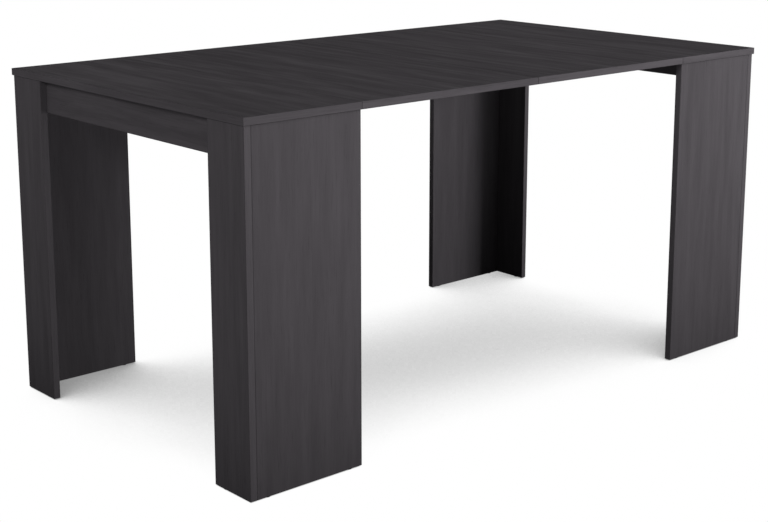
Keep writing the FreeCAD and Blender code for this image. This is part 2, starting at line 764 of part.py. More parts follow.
def make_cams():
    inner_face = size("side_overhang + board")
    cam_height = minus(UNDERSIDE, size("cam_setback"))
    cams = [(u, inner_face, cam_height, FACING_BACK, FACING_FRONT) for u in CAM_PLACES]
    both_ends("cam_locks", make_cam_lock_master(), front_and_back(cams))
    bolts = [(u, PANEL_MIDDLE, UNDERSIDE, UPRIGHT, UPRIGHT) for u in CAM_PLACES]
    both_ends("cam_bolts", make_cam_bolt_master(), front_and_back(bolts))


def make_apron_screws():
    screw = make_screw_master("apron_screw_master", plus(size("board"), SCREW_GRIP))
    low = minus(UNDERSIDE, size("apron_height"))
    screws = [(APRON_INNER, APRON_SCREW_ROW, plus(low, height)) for height in APRON_SCREW_HEIGHTS]
    screws = [(*place, ALONG_LENGTH, ALONG_LENGTH) for place in screws]
    both_ends("apron_screws", screw, front_and_back(screws))


def make_brackets():
    screw = make_screw_master("bracket_screw_master", plus(size("bracket_sheet"), SCREW_GRIP))
    rows = [plus(FRONT, BRACKET_ROWS[0]), "0", negative(plus(FRONT, BRACKET_ROWS[0]))]
    corner_line = from_left(APRON_INNER)
    both_ends("brackets", make_bracket_master(), [(corner_line, y, UNDERSIDE, UPRIGHT) for y in rows])
    under = minus(UNDERSIDE, size("bracket_sheet"))
    hole = size("bracket_hole_place")
    upward = [(from_left(BRACKET_SCREW_PLACE), y, under, HEAD_DOWN) for y in rows]
    face = plus(corner_line, size("bracket_sheet"))
    sideways = [(face, y, minus(UNDERSIDE, hole), ALONG_LENGTH) for y in rows]
    both_ends("bracket_screws", screw, upward + sideways)


def make_glides():
    margin = size("glide_margin")
    spots = [
        (plus(SIDE_START, margin), PANEL_MIDDLE),
        (size("end_top_depth - glide_margin"), PANEL_MIDDLE),
        (END_PANEL_MIDDLE, minus(LEG_FREE_EDGE, margin)),
    ]
    places = [(*spot, "0", UPRIGHT, UPRIGHT) for spot in spots]
    both_ends("floor_glides", make_glide_master(), front_and_back(places))


def make_pins():
    pin = make_rod_master("pin_master", "pin")
    height = plus(UNDERSIDE, size("board / 2"))
    rows = [plus(FRONT, row) for row in PIN_ROWS]
    edges = (("left_top", LEFT_TOP_EDGE), ("leaf_1", LEAF_EDGES[0]), ("leaf_2", LEAF_EDGES[1]))
    for carrier, edge in edges:
        start = from_left(minus(edge, size("pin_length / 2")))
        group(f"{carrier}_pins", pin, [(start, y, height, ALONG_LENGTH) for y in rows])


# Right-hand edges of the boards, from the left end
LEFT_TOP_EDGE = size("end_top_depth")
LEAF_STARTS = [
    size("end_top_depth + seam_gap"),
    size("end_top_depth + leaf_depth + 2 * seam_gap"),
]
LEAF_EDGES = [plus(start, size("leaf_depth")) for start in LEAF_STARTS]

make_end_tops()
for leaf_index, leaf_start in enumerate(LEAF_STARTS, start=1):
    make_leaf(f"leaf_{leaf_index}", leaf_start)
make_side_panel()
make_end_panel()
make_apron()
for rail_index in range(len(RAIL_NAMES)):
    make_rail(rail_index)
make_sliders_and_stops()
make_rail_fixings()
make_dowels()
make_cams()
make_apron_screws()
make_brackets()
make_glides()
make_pins()
doc.recompute()

# Every object has to be sound before anything is written.
for item in doc.Objects:
    if "Invalid" in item.State or "Error" in item.State:
        raise RuntimeError(f"{item.Label} failed: {item.State}")
os.makedirs("parts", exist_ok=True)
for item in nodes:
    if item.Shape.isNull() or not item.Shape.isValid():
        raise RuntimeError(f"{item.Label} has no sound shape")
for item in nodes:
    item.Shape.exportStep(f"parts/{item.Label}.step")
print(f"{len(nodes)} sub-parts, {sum(len(item.Shape.Solids) for item in nodes)} solids")
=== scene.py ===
"""Looks of an extending console table in black wood-grain board.

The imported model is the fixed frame: every board, rail and fitting keeps its place and size. This script gives
each piece its finish, models the small fittings in full, and sets the table in a plain pale studio.
Lengths are in metres. X runs along the table, Y from the front edge to the back edge, Z up from the floor.
"""
import json
import logging
import math
from dataclasses import dataclass, field
from enum import Enum
from typing import Callable, Mapping, Sequence

import bmesh
import bpy
from mathutils import Matrix, Vector

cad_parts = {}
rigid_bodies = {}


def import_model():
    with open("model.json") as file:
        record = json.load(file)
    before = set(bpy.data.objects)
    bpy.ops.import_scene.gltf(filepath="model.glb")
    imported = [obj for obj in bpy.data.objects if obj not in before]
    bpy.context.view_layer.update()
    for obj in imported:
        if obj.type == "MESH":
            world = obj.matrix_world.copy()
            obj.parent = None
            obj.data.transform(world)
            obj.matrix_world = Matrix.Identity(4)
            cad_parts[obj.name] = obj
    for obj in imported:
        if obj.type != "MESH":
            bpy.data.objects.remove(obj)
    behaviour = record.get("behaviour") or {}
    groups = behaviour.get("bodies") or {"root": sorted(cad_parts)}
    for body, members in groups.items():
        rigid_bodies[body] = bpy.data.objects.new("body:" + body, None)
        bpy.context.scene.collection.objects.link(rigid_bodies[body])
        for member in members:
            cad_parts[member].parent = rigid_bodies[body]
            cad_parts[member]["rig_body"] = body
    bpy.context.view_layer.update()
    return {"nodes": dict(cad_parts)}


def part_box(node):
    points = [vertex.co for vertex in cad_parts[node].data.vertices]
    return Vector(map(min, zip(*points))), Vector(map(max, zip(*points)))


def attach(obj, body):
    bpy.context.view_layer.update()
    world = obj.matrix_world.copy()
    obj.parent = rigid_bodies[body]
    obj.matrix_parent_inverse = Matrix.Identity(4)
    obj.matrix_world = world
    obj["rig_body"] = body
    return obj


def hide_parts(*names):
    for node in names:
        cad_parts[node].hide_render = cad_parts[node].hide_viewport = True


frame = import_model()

MILLIMETRE = 0.001
WELD = 1e-6
MEASURE_DIGITS = 5
ORDER_DIGITS = 4
SMOOTH_DEGREES = 32.0
LEVEL_DEGREES = 90.0
CROSS_ARMS = 4
MIDDLE = 0.5
WHITE = (1.0, 1.0, 1.0, 1.0)

log = logging.getLogger("console_table")

Material = bpy.types.Material
Socket = bpy.types.NodeSocket
Sockets = bpy.types.bpy_prop_collection
SocketValue = Socket | float | Sequence[float]
Colour = tuple[float, float, float, float]


class Axis(Enum):
    """A direction of the frame, by its place in a vector."""

    LENGTH = 0
    WIDTH = 1
    HEIGHT = 2


class Graph:
    """A shader node tree with short ways to add nodes and join them.

    A mix node has sockets for numbers and for colours, and they are told apart by their places.
    """

    mix_numbers = (2, 3)
    mix_colours = (6, 7)
    mixed_number = 0
    mixed_colour = 2

    def __init__(self, tree: bpy.types.NodeTree) -> None:
        """Keeps the tree that the nodes go into."""
        self.tree = tree

    def node(
        self, kind: str, inputs: Mapping[str | int, SocketValue] | None = None, **settings: object
    ) -> bpy.types.Node:
        """Adds a node.

        Args:
            kind: the node's type name.
            inputs: socket names or numbers, each with a value to set or an output socket to link.
            settings: the node's own options.

        Returns:
            The new node.
        """
        made = self.tree.nodes.new(kind)
        for name, value in settings.items():
            setattr(made, name, value)
        for key, value in (inputs or {}).items():
            if isinstance(value, Socket):
                self.tree.links.new(value, made.inputs[key])
            else:
                made.inputs[key].default_value = value
        return made

    def math(self, operation: str, first: SocketValue, second: SocketValue = 0.0) -> Socket:
        """Adds a math node and returns its output."""
        return self.node("ShaderNodeMath", {0: first, 1: second}, operation=operation).outputs[0]

    def vector_math(
        self, operation: str, first: SocketValue, second: SocketValue = (0.0, 0.0, 0.0)
    ) -> Socket:
        """Adds a vector math node and returns its vector output."""
        return self.node("ShaderNodeVectorMath", {0: first, 1: second}, operation=operation).outputs[0]

    def scaled(self, vector: SocketValue, factor: SocketValue) -> Socket:
        """Adds a vector's product with a number and returns it."""
        return self.node("ShaderNodeVectorMath", {0: vector, "Scale": factor}, operation="SCALE").outputs[0]

    def noise(self, vector: Socket, scales: SocketValue, detail: float) -> Socket:
        """Adds noise that is stretched by a scale along each direction.

        Args:
            vector: where the noise is read.
            scales: how many noise cells fit in a metre along each direction.
            detail: how many finer layers are added.

        Returns:
            The noise's value, from 0 to 1.
        """
        stretched = self.vector_math("MULTIPLY", vector, scales)
        cells = {"Vector": stretched, "Scale": 1.0, "Detail": detail}
        return self.node("ShaderNodeTexNoise", cells).outputs[0]

    def mix(self, factor: SocketValue, first: SocketValue, second: SocketValue) -> Socket:
        """Adds a mix of two numbers and returns it."""
        low, high = self.mix_numbers
        return self.node("ShaderNodeMix", {0: factor, low: first, high: second}).outputs[self.mixed_number]

    def blend(self, factor: SocketValue, first: SocketValue, second: SocketValue) -> Socket:
        """Adds a mix of two vectors or colours and returns it."""
        low, high = self.mix_colours
        sides = {0: factor, low: first, high: second}
        made = self.node("ShaderNodeMix", sides, data_type="RGBA", clamp_factor=True)
        return made.outputs[self.mixed_colour]

    def ramp(
        self, value: SocketValue, low: float, high: float, start: float = 0.0, end: float = 1.0
    ) -> Socket:
        """Adds a smooth change of range.

        Args:
            value: what is mapped.
            low: the value that gives start.
            high: the value that gives end.
            start: the result at low and before it.
            end: the result at high and past it.

        Returns:
            The mapped value.
        """
        limits = {"Value": value, "From Min": low, "From Max": high, "To Min": start, "To Max": end}
        return self.node("ShaderNodeMapRange", limits, interpolation_type="SMOOTHSTEP").outputs[0]


class NodeGroup:
    """A shared shader effect with named inputs and outputs, built once."""

    name = "Effect"
    takes: Mapping[str, str] = {}
    gives: Mapping[str, str] = {}

    def __init__(self) -> None:
        """Makes the group's sockets and calls build for what is between them."""
        self.tree = bpy.data.node_groups.new(self.name, "ShaderNodeTree")
        for way, sockets in (("INPUT", self.takes), ("OUTPUT", self.gives)):
            for name, kind in sockets.items():
                self.tree.interface.new_socket(name=name, in_out=way, socket_type=f"NodeSocket{kind}")
        graph = Graph(self.tree)
        source = self.tree.nodes.new("NodeGroupInput")
        graph.node("NodeGroupOutput", self.build(graph, source.outputs))

    def build(self, graph: Graph, given: Sockets) -> dict[str, Socket]:
        """Adds the nodes between the inputs and the outputs.

        Args:
            graph: the group's own nodes.
            given: the input sockets by name.

        Returns:
            The output sockets' sources by name.
        """
        raise NotImplementedError

    def place(self, graph: Graph, **inputs: SocketValue) -> Sockets:
        """Puts the group into a material.

        Args:
            graph: the material's nodes.
            inputs: values or sockets for the group's inputs, with _ for each space.

        Returns:
            The group's outputs by name.
        """
        named = {name.replace("_", " "): value for name, value in inputs.items()}
        return graph.node("ShaderNodeGroup", named, node_tree=self.tree).outputs


@dataclass(frozen=True)
class Layer:
    """One stretched noise of a grain: its cells to the metre, its finer layers and how much it counts."""

    scales: tuple[float, float, float]
    detail: float
    share: float = 1.0

    def noise(self, graph: Graph, spot: Socket) -> Socket:
        """Adds the layer's noise, from 0 to 1, and returns it."""
        return graph.noise(spot, self.scales, self.detail)

    def part(self, graph: Graph, noise: Socket) -> Socket:
        """Scales the layer's noise by how much it counts and returns it."""
        return graph.math("MULTIPLY", noise, self.share)


class StraightGrain(NodeGroup):
    """Straight wood grain: wide bands, streaks, fibres and short open pores along the local X direction.

    On faces cut across the grain it turns to run along the local Y direction, as an edge strip's grain does.
    """

    name = "Straight grain"
    takes = {"Vector": "Vector", "Normal": "Vector", "Seed": "Float", "Fineness": "Float"}
    gives = {"Tone": "Float", "Pores": "Float", "Height": "Float"}

    seed_step = (3.17, 7.31, 5.83)
    cut_end = 0.7
    waver = Layer((2.4, 6.0, 6.0), detail=1.0, share=0.016)
    bands = Layer((1.2, 17.0, 17.0), detail=2.0, share=0.30)
    streaks = Layer((4.6, 52.0, 52.0), detail=3.0, share=0.50)
    fibres = Layer((9.0, 420.0, 420.0), detail=2.0, share=0.20)
    pores = Layer((22.0, 900.0, 900.0), detail=1.0)
    pore_start = 0.62
    pore_full = 0.74
    fibre_height = 0.35

    def build(self, graph: Graph, given: Sockets) -> dict[str, Socket]:
        """Mixes stretched noises into tone, pores and height."""
        place = graph.node("ShaderNodeSeparateXYZ", {0: given["Vector"]}).outputs
        facing = graph.node("ShaderNodeSeparateXYZ", {0: given["Normal"]}).outputs
        turned = graph.node("ShaderNodeCombineXYZ", {0: place[1], 1: place[0], 2: place[2]}).outputs[0]
        across = graph.math("GREATER_THAN", graph.math("ABSOLUTE", facing[0]), self.cut_end)
        along = graph.blend(across, given["Vector"], turned)
        sized = graph.scaled(along, given["Fineness"])
        spot = graph.vector_math("ADD", sized, graph.scaled(self.seed_step, given["Seed"]))
        sway = graph.math("SUBTRACT", self.waver.noise(graph, spot), MIDDLE)
        sway = self.waver.part(graph, sway)
        aside = graph.node("ShaderNodeCombineXYZ", {1: sway, 2: sway}).outputs[0]
        spot = graph.vector_math("ADD", spot, aside)
        tone = self.bands.part(graph, self.bands.noise(graph, spot))
        tone = graph.math("ADD", tone, self.streaks.part(graph, self.streaks.noise(graph, spot)))
        fibre = self.fibres.noise(graph, spot)
        tone = graph.math("ADD", tone, self.fibres.part(graph, fibre))
        pore = graph.ramp(self.pores.noise(graph, spot), self.pore_start, self.pore_full)
        height = graph.math("SUBTRACT", graph.math("MULTIPLY", fibre, self.fibre_height), pore)
        return {"Tone": tone, "Pores": pore, "Height": height}


class EdgeStrip(NodeGroup):
    """The glued strip round a board's edges, whose mask carries a painted highlight, and the fine joint line
    where it meets the faces.
    """

    name = "Edge strip"
    takes = {"Vector": "Vector", "Half Size": "Vector", "Strip": "Float", "Joint": "Float"}
    gives = {"Strip Highlight Mask": "Float", "Joint Line": "Float"}

    def build(self, graph: Graph, given: Sockets) -> dict[str, Socket]:
        """Measures how far a point lies inside the board's outline."""
        outward = graph.vector_math("ABSOLUTE", given["Vector"])
        inside = graph.vector_math("SUBTRACT", given["Half Size"], outward)
        reach = graph.node("ShaderNodeSeparateXYZ", {0: inside}).outputs
        depth = graph.math("MINIMUM", reach[0], reach[1])
        mask = graph.math("LESS_THAN", depth, given["Strip"])
        away = graph.math("ABSOLUTE", graph.math("SUBTRACT", depth, given["Strip"]))
        line = graph.math("LESS_THAN", away, given["Joint"])
        return {"Strip Highlight Mask": mask, "Joint Line": line}


class Mottle(NodeGroup):
    """Fine uneven cloud of tone and height, for moulded, cast and plated skins."""

    name = "Mottle"
    takes = {"Vector": "Vector", "Scales": "Vector", "Fine Scale": "Float"}
    gives = {"Tone": "Float", "Height": "Float"}

    coarse_detail = 3.0
    fine_detail = 2.0
    fine_share = 0.35

    def build(self, graph: Graph, given: Sockets) -> dict[str, Socket]:
        """Lays a fine noise over a coarse one that may be stretched."""
        coarse = graph.noise(given["Vector"], given["Scales"], self.coarse_detail)
        cells = {"Vector": given["Vector"], "Scale": given["Fine Scale"], "Detail": self.fine_detail}
        fine = graph.node("ShaderNodeTexNoise", cells).outputs[0]
        return {"Tone": graph.blend(self.fine_share, coarse, fine), "Height": fine}


@dataclass
class Effects:
    """The shared shader effects, built once."""

    grain: StraightGrain = field(default_factory=StraightGrain)
    strip: EdgeStrip = field(default_factory=EdgeStrip)
    mottle: Mottle = field(default_factory=Mottle)


def empty_graph(owner: Material | bpy.types.World) -> Graph:
    """Clears the nodes of a material or a world.

    Args:
        owner: the material or the world.

    Returns:
        Its nodes, with none in them yet.
    """
    owner.use_nodes = True
    owner.node_tree.nodes.clear()
    return Graph(owner.node_tree)


def new_material(name: str) -> tuple[Material, Graph]:
    """Makes a material.

    Args:
        name: the material's name.

    Returns:
        The material and its nodes, with none in them yet.
    """
    material = bpy.data.materials.new(name)
    return material, empty_graph(material)


def add_surface(
    graph: Graph, inputs: Mapping[str, SocketValue], height: Socket, strength: float, depth: float
) -> None:
    """Ends a material with a Principled surface that has fine bumps.

    Args:
        graph: the material's nodes.
        inputs: values or sockets for the surface's inputs.
        height: the bumps' height, about 0 to 1.
        strength: how much of the bumps is used.
        depth: the real height of 1, in metres.
    """
    bumps = graph.node("ShaderNodeBump", {"Height": height, "Strength": strength, "Distance": depth})
    surface = graph.node("ShaderNodeBsdfPrincipled", {**inputs, "Normal": bumps.outputs[0]})
    graph.node("ShaderNodeOutputMaterial", {"Surface": surface.outputs[0]})


@dataclass(frozen=True)
class BoardFinish:
    """Black wood-grain melamine on a board, with a strip of the same decor on its edges that is painted lighter
    as a painted edge highlight.
    """

    dark: Colour = (0.0395, 0.0363, 0.0396, 1.0)
    light: Colour = (0.0629, 0.0578, 0.0631, 1.0)
    pore: Colour = (0.0149, 0.0140, 0.0150, 1.0)
    joint: Colour = (0.0110, 0.0106, 0.0110, 1.0)
    tone_low: float = 0.30
    tone_high: float = 0.72
    pore_weight: float = 0.30
    # how much lighter the edge strip is painted: a painted highlight on every board edge
    painted_edge_highlight: float = 0.20
    strip_depth: float = 1.0 * MILLIMETRE
    joint_half_width: float = 0.18 * MILLIMETRE
    roughness_low: float = 0.62
    roughness_high: float = 0.80
    specular: float = 0.003
    bump_strength: float = 0.35
    bump_depth: float = 0.12 * MILLIMETRE

    def material(self, effects: Effects, board: "Board") -> Material:
        """Makes the finish for one board, with the grain along the board's own direction.

        Args:
            effects: the shared shader effects.
            board: the board that is dressed.

        Returns:
            The board's material.
        """
        made, graph = new_material(f"black_board_{board.node}")
        coordinates = graph.node("ShaderNodeTexCoord").outputs
        middle = {"Vector": coordinates["Object"], "Location": -board.centre}
        centred = graph.node("ShaderNodeMapping", middle, vector_type="POINT").outputs[0]
        place = board.to_grain(graph, centred)
        facing = board.to_grain(graph, coordinates["Normal"])
        grain = effects.grain.place(graph, Vector=place, Normal=facing, Seed=board.seed, Fineness=1.0)
        widths = {"Strip": self.strip_depth, "Joint": self.joint_half_width}
        strip = effects.strip.place(graph, Vector=place, Half_Size=board.half_size, **widths)
        spread = board.contrast / 2
        tone = graph.ramp(grain["Tone"], self.tone_low, self.tone_high, MIDDLE - spread, MIDDLE + spread)
        # The real edge strip is painted lighter here, a painted highlight along the board edges.
        tone = graph.math("ADD", tone, graph.math("MULTIPLY", strip["Strip Highlight Mask"], self.painted_edge_highlight))
        colour = graph.blend(tone, self.dark, self.light)
        colour = graph.blend(graph.math("MULTIPLY", grain["Pores"], self.pore_weight), colour, self.pore)
        colour = graph.blend(strip["Joint Line"], colour, self.joint)
        roughness = graph.ramp(
            grain["Tone"], self.tone_low, self.tone_high, self.roughness_high, self.roughness_low
        )
        skin = {"Base Color": colour, "Roughness": roughness, "Specular IOR Level": self.specular}
        add_surface(graph, skin, grain["Height"], self.bump_strength, self.bump_depth)
        return made


@dataclass(frozen=True)
class FittingFinish:
    """A metal or plastic skin whose tone, gloss and height vary with a mottle."""

    name: str
    slot: str
    dark: Colour
    light: Colour
    metallic: float
    roughness_low: float
    roughness_high: float
    scales: tuple[float, float, float]
    fine_scale: float
    bump_strength: float
    bump_depth: float
    specular: float = 0.5
    tone_low: float = 0.3
    tone_high: float = 0.7

    def material(self, effects: Effects) -> Material:
        """Makes the finish.

        Args:
            effects: the shared shader effects.

        Returns:
            The material.
        """
        made, graph = new_material(self.name)
        coordinates = graph.node("ShaderNodeTexCoord").outputs
        cloud = effects.mottle.place(
            graph, Vector=coordinates["Object"], Scales=self.scales, Fine_Scale=self.fine_scale
        )
        tone = graph.ramp(cloud["Tone"], self.tone_low, self.tone_high)
        roughness = graph.ramp(
            cloud["Tone"], self.tone_low, self.tone_high, self.roughness_low, self.roughness_high
        )
        skin = {
            "Base Color": graph.blend(tone, self.dark, self.light), "Roughness": roughness,
            "Metallic": self.metallic, "Specular IOR Level": self.specular,
        }
        add_surface(graph, skin, cloud["Height"], self.bump_strength, self.bump_depth)
        return made


EXTRUSION = FittingFinish(
    name="aluminium_extrusion", slot="aluminium",
    dark=(0.62, 0.63, 0.64, 1.0), light=(0.70, 0.71, 0.72, 1.0),
    metallic=1.0, roughness_low=0.34, roughness_high=0.42,
    scales=(3.0, 1900.0, 1900.0), fine_scale=700.0, bump_strength=0.06, bump_depth=0.02 * MILLIMETRE,
)
PLATING = FittingFinish(
    name="zinc_plated_steel", slot="plated_steel",
    dark=(0.58, 0.58, 0.58, 1.0), light=(0.66, 0.67, 0.69, 1.0),
    metallic=1.0, roughness_low=0.33, roughness_high=0.41,
    scales=(260.0, 260.0, 260.0), fine_scale=1500.0, bump_strength=0.10, bump_depth=0.02 * MILLIMETRE,
)
CASTING = FittingFinish(
    name="die_cast_zinc", slot="cast_zinc",
    dark=(0.42, 0.42, 0.43, 1.0), light=(0.50, 0.50, 0.51, 1.0),
    metallic=1.0, roughness_low=0.44, roughness_high=0.52,
    scales=(420.0, 420.0, 420.0), fine_scale=1800.0, bump_strength=0.12, bump_depth=0.03 * MILLIMETRE,
)
NYLON = FittingFinish(
    name="moulded_black_nylon", slot="black_nylon",
    dark=(0.014, 0.014, 0.015, 1.0), light=(0.030, 0.030, 0.031, 1.0),
    metallic=0.0, roughness_low=0.46, roughness_high=0.62, specular=0.4,
    scales=(300.0, 300.0, 300.0), fine_scale=1600.0, bump_strength=0.30, bump_depth=0.05 * MILLIMETRE,
)


@dataclass(frozen=True)
class TimberFinish:
    """Bare pale beech, as on glued dowels."""

    dark: Colour = (0.42, 0.26, 0.14, 1.0)
    light: Colour = (0.66, 0.47, 0.29, 1.0)
    fleck: Colour = (0.30, 0.17, 0.09, 1.0)
    tone_low: float = 0.3
    tone_high: float = 0.7
    seed: float = 0.7
    fineness: float = 2.5
    roughness: float = 0.62
    bump_strength: float = 0.3
    bump_depth: float = 0.08 * MILLIMETRE

    def material(self, effects: Effects, name: str, along: Axis) -> Material:
        """Makes the finish with its grain along one direction.

        Args:
            effects: the shared shader effects.
            name: the material's name.
            along: the grain's direction.

        Returns:
            The material.
        """
        made, graph = new_material(name)
        coordinates = graph.node("ShaderNodeTexCoord").outputs
        order = grain_order(along, Axis.WIDTH)
        place = reorder(graph, coordinates["Object"], order)
        facing = reorder(graph, coordinates["Normal"], order)
        cut = {"Seed": self.seed, "Fineness": self.fineness}
        grain = effects.grain.place(graph, Vector=place, Normal=facing, **cut)
        colour = graph.blend(graph.ramp(grain["Tone"], self.tone_low, self.tone_high), self.dark, self.light)
        colour = graph.blend(grain["Pores"], colour, self.fleck)
        skin = {"Base Color": colour, "Roughness": self.roughness}
        add_surface(graph, skin, grain["Height"], self.bump_strength, self.bump_depth)
        return made


def grain_order(along: Axis, through: Axis) -> tuple[int, int, int]:
    """The order of directions that puts the grain first and the thickness last.

    Args:
        along: the grain's direction.
        through: the thickness's direction.

    Returns:
        The three directions' places.
    """
    rest = next(axis for axis in Axis if axis not in (along, through))
    return along.value, rest.value, through.value


def reorder(graph: Graph, vector: Socket, order: Sequence[int]) -> Socket:
    """Puts a vector's parts into another order.

    Args:
        graph: the material's nodes.
        vector: the vector.
        order: which part comes first, second and third.

    Returns:
        The reordered vector.
    """
    parts = graph.node("ShaderNodeSeparateXYZ", {0: vector}).outputs
    return graph.node("ShaderNodeCombineXYZ", {i: parts[part] for i, part in enumerate(order)}).outputs[0]


@dataclass
class Board:
    """One board of the table: its node, the direction of its grain and where it was cut from the sheet."""

    node: str
    grain: Axis
    contrast: float
    seed: float
    centre: Vector = field(init=False)
    size: Vector = field(init=False)

    def __post_init__(self) -> None:
        """Takes the board's place and size from the frame."""
        low, high = (Vector(corner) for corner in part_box(self.node))
        self.centre = (low + high) / 2
        self.size = high - low

    @property
    def order(self) -> tuple[int, int, int]:
        """Grain direction first, thickness last."""
        through = min(Axis, key=lambda axis: self.size[axis.value])
        return grain_order(self.grain, through)

    @property
    def half_size(self) -> tuple[float, float, float]:
        """Half the board's size, in the grain's order."""
        return tuple(self.size[part] / 2 for part in self.order)

    def to_grain(self, graph: Graph, vector: Socket) -> Socket:
        """Turns a vector of the frame so that its first part runs along the grain."""
        return reorder(graph, vector, self.order)


def both_ends(*names: str) -> tuple[str, ...]:
    """Names with each of the table's ends before them."""
    return tuple(f"{end}_{name}" for end in ("left", "right") for name in names)


def dress(node: str, material: Material) -> None:
    """Puts a material on a node of the frame.

    Args:
        node: the node's name.
        material: its finish.
    """
    for slot in frame["nodes"][node].material_slots:
        slot.material = material
    log.info("%s: %s", node, material.name)


@dataclass
class Boards:
    """The tops, leaves, legs and aprons, all of one black board."""

    finish: BoardFinish = field(default_factory=BoardFinish)
    seed_step: float = 1.37
    top_contrast: float = 0.85
    leg_contrast: float = 0.55
    tops: tuple[str, ...] = ("left_top", "leaf_1", "leaf_2", "right_top")
    aprons: tuple[str, ...] = both_ends("apron")
    leg_panels: tuple[str, ...] = tuple(
        f"{end}_{side}_{panel}_panel"
        for end in ("left", "right")
        for side in ("front", "back")
        for panel in ("side", "end")
    )

    def boards(self) -> list[Board]:
        """All boards with their grain: across the tops, along the aprons and up the legs.

        Returns:
            The boards, each cut from its own place in the sheet.
        """
        named = [(name, Axis.WIDTH, self.top_contrast) for name in self.tops + self.aprons]
        named += [(name, Axis.HEIGHT, self.leg_contrast) for name in self.leg_panels]
        return [Board(*cut, seed=i * self.seed_step) for i, cut in enumerate(named)]

    def dress(self, effects: Effects) -> None:
        """Gives each board its own cut of the decor."""
        for board in self.boards():
            dress(board.node, self.finish.material(effects, board))


def welded(node: str) -> bmesh.types.BMesh:
    """Copies a node's mesh and joins its faces at their corners.

    Args:
        node: the node's name.

    Returns:
        The copy.
    """
    shape = bmesh.new()
    shape.from_mesh(frame["nodes"][node].data)
    bmesh.ops.remove_doubles(shape, verts=shape.verts, dist=WELD)
    return shape


def stand_for(node: str, mesh: bpy.types.Mesh, material: Material) -> bpy.types.Object:
    """Puts a finished mesh in a node's place, on the body that carries the node.

    Args:
        node: the node's name.
        mesh: the shape that is shown for it.
        material: its finish.

    Returns:
        The piece that shows the mesh.
    """
    mesh.polygons.foreach_set("use_smooth", [True] * len(mesh.polygons))
    mesh.set_sharp_from_angle(angle=math.radians(SMOOTH_DEGREES))
    mesh.materials.clear()
    mesh.materials.append(material)
    piece = bpy.data.objects.new(mesh.name, mesh)
    bpy.context.scene.collection.objects.link(piece)
    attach(piece, frame["nodes"][node]["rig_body"])
    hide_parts(node)
    log.info("%s: %d faces", piece.name, len(mesh.polygons))
    return piece


@dataclass
class Softened:
    """Fittings in their own shape, with the small rounding that a drawn, cast or moulded edge has."""

    finish: FittingFinish
    nodes: tuple[str, ...]
    radius: float
    shortest: float = 0.0
    segments: int = 2
    sharp_degrees: float = 40.0
    flat_degrees: float = 0.5

    def build(self, node: str, material: Material) -> None:
        """Makes the rounded pieces that stand for one node.

        Args:
            node: the node's name.
            material: the pieces' finish.
        """
        shape = welded(node)
        bmesh.ops.dissolve_limit(
            shape, angle_limit=math.radians(self.flat_degrees), verts=shape.verts, edges=shape.edges
        )
        limit = math.radians(self.sharp_degrees)
        hard = [
            edge
            for edge in shape.edges
            if edge.is_convex and edge.calc_face_angle(0.0) > limit and edge.calc_length() > self.shortest
        ]
        bmesh.ops.bevel(
            shape, geom=hard, offset=self.radius, offset_type="OFFSET", affect="EDGES",
            segments=self.segments, profile=0.5, material=-1, clamp_overlap=False,
        )
        mesh = bpy.data.meshes.new(f"{node}_softened")
        shape.to_mesh(mesh)
        shape.free()
        piece = stand_for(node, mesh, material)
        piece.modifiers.new("even_shading", "WEIGHTED_NORMAL").keep_sharp = True


@dataclass(frozen=True)
class Seat:
    """Where one round fixing sits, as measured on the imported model.

    The outline gives the fixing's steps from its narrow end to its head: each is a height above the foot
    and a radius.
    """

    foot: Vector
    along: Vector
    outline: tuple[tuple[float, float], ...]

    @property
    def placing(self) -> Matrix:
        """Carries a piece that stands on the origin along Z to this seat."""
        turn = Vector((0.0, 0.0, 1.0)).rotation_difference(self.along).to_matrix().to_4x4()
        return Matrix.Translation(self.foot) @ turn

    @property
    def top(self) -> float:
        """The fixing's whole length."""
        return self.outline[-1][0]

    @property
    def widest(self) -> float:
        """The largest radius."""
        return max(radius for _, radius in self.outline)

    @property
    def neck(self) -> float:
        """The radius at the foot."""
        return self.outline[0][1]


def solids(node: str) -> list[list[Vector]]:
    """The corner points of each separate solid of a node.

    Args:
        node: the node's name.

    Returns:
        One list of points for each solid, in the order of their first corners, which is the same on each run.
    """
    shape = welded(node)
    left = set(shape.verts)
    found = []
    while left:
        group = [left.pop()]
        for vert in group:
            near = {edge.other_vert(vert) for edge in vert.link_edges} & left
            left -= near
            group.extend(near)
        found.append([vert.co.copy() for vert in group])
    shape.free()
    return sorted(
        found, key=lambda points: min(tuple(round(part, ORDER_DIGITS) for part in point) for point in points)
    )


def find_seat(points: Sequence[Vector]) -> Seat:
    """Measures where one round fixing sits.

    Args:
        points: the corner points of its solid.

    Returns:
        Its seat.
    """
    low = Vector(min(point[i] for point in points) for i in range(3))
    high = Vector(max(point[i] for point in points) for i in range(3))
    axis = max(range(3), key=lambda i: high[i] - low[i])
    along = Vector(1.0 if i == axis else 0.0 for i in range(3))
    foot = (low + high) / 2
    foot[axis] = low[axis]
    steps = set()
    for point in points:
        height = (point - foot).dot(along)
        radius = (point - foot - height * along).length
        steps.add((round(height, MEASURE_DIGITS), round(radius, MEASURE_DIGITS)))
    outline = sorted(steps)
    if outline[0][1] > outline[-1][1]:
        foot = foot + along * outline[-1][0]
        along = -along
        length = high[axis] - low[axis]
        outline = sorted((round(length - height, MEASURE_DIGITS), radius) for height, radius in outline)
    return Seat(foot, along, tuple(outline))


@dataclass(frozen=True)
class Cross:
    """A screwdriver's recess: its arms' reach and half width, its depth and its bottom's share of its top."""

    arm: float
    half_width: float
    depth: float
    taper: float = 0.62


